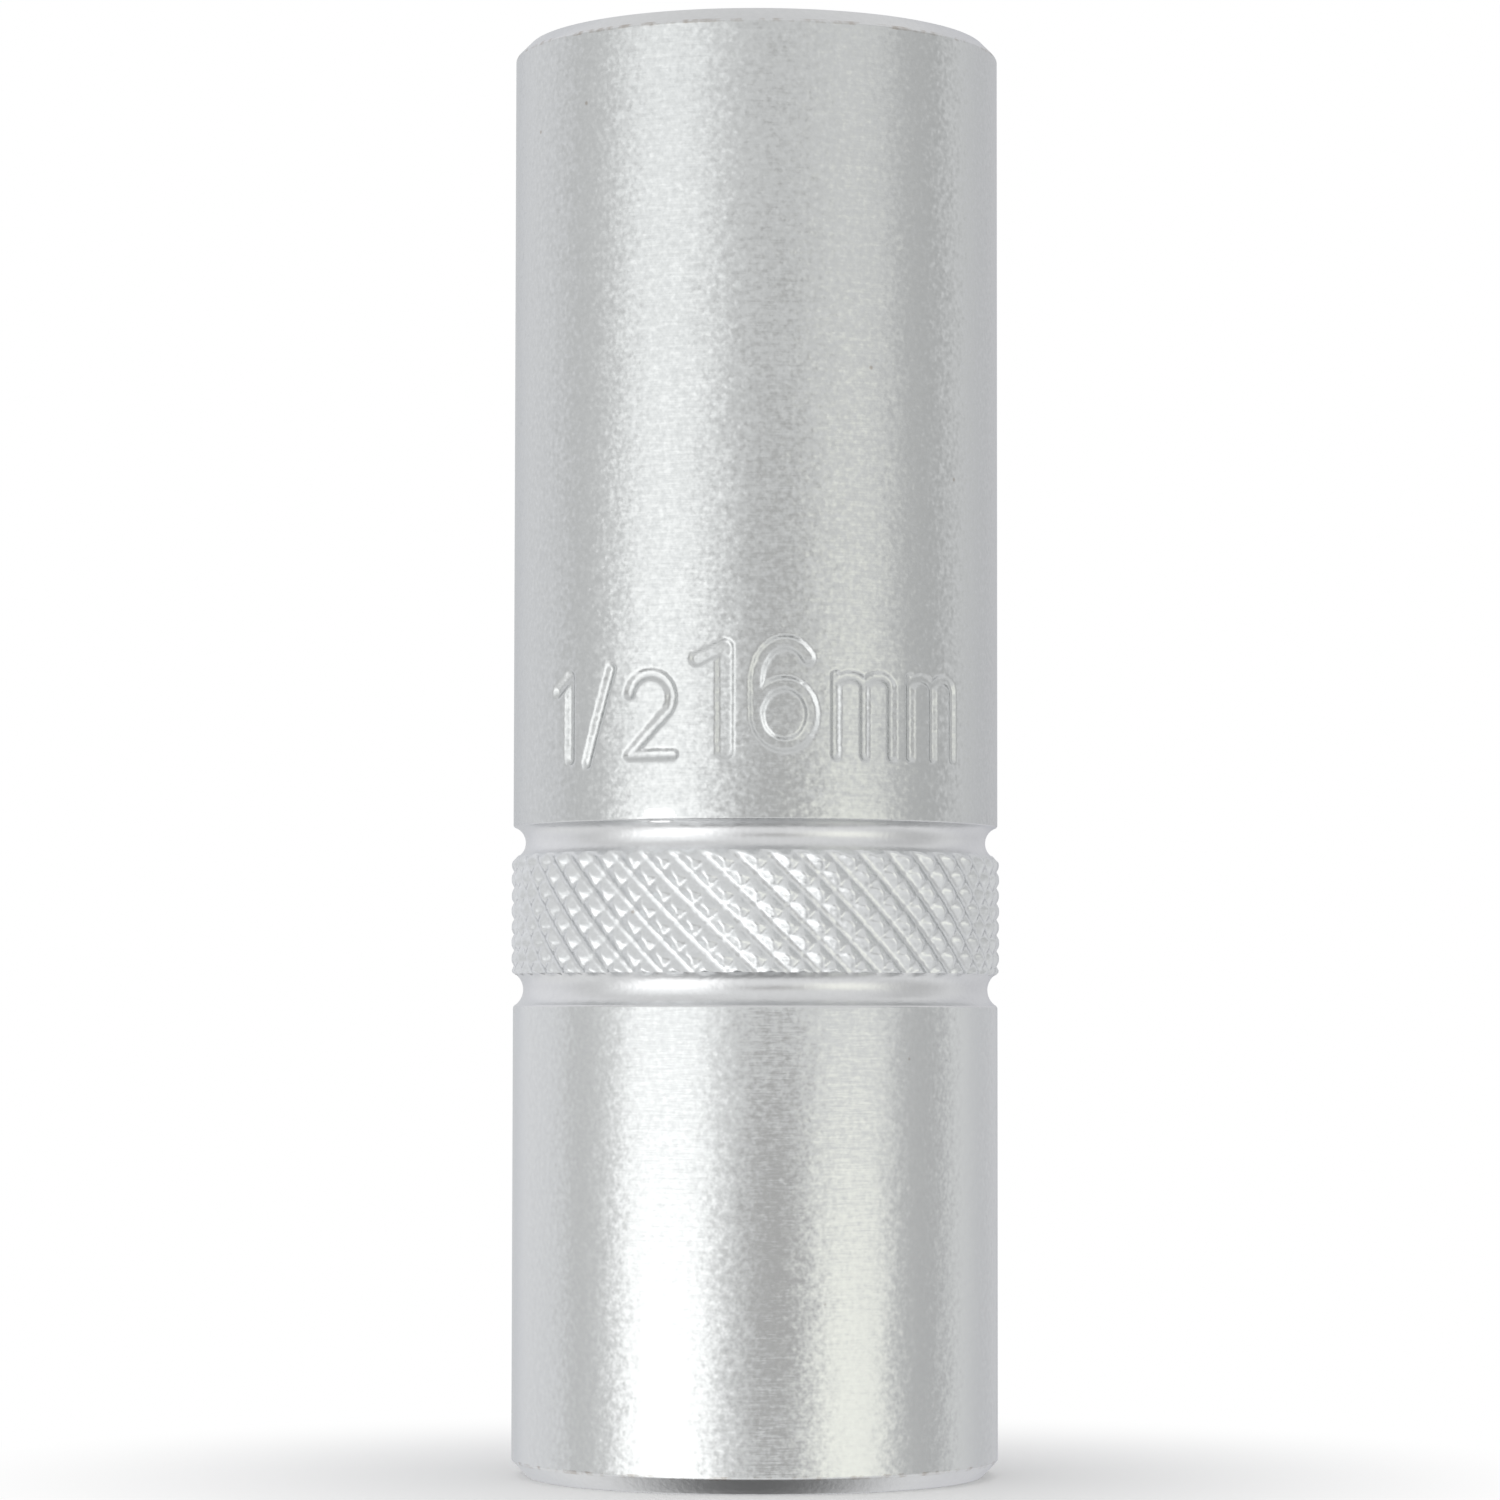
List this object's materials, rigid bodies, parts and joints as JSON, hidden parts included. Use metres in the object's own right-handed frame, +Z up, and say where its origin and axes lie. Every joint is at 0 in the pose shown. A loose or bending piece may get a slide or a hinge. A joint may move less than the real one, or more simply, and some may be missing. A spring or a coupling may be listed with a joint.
{
  "type": "spark plug socket",
  "caption": "Deep round steel socket with a hexagon mouth, a knurled grip band between turned grooves, a square drive and a rubber sleeve that grips a spark plug.",
  "frame": {"origin": "centre of the drive face, which the socket stands on", "axes": "+Z up the socket's axis from the square drive to the hexagon mouth, -Y towards the front"},
  "size_m": [0.0222, 0.0222, 0.065],
  "materials": {
    "satin_chrome": "satin chrome plate over forged and blasted chrome-vanadium steel",
    "black_rubber": "moulded matte rubber"
  },
  "bodies": {
    "root": {"socket_body": "satin_chrome", "plug_grip_sleeve": "black_rubber"}
  },
  "joints": []
}
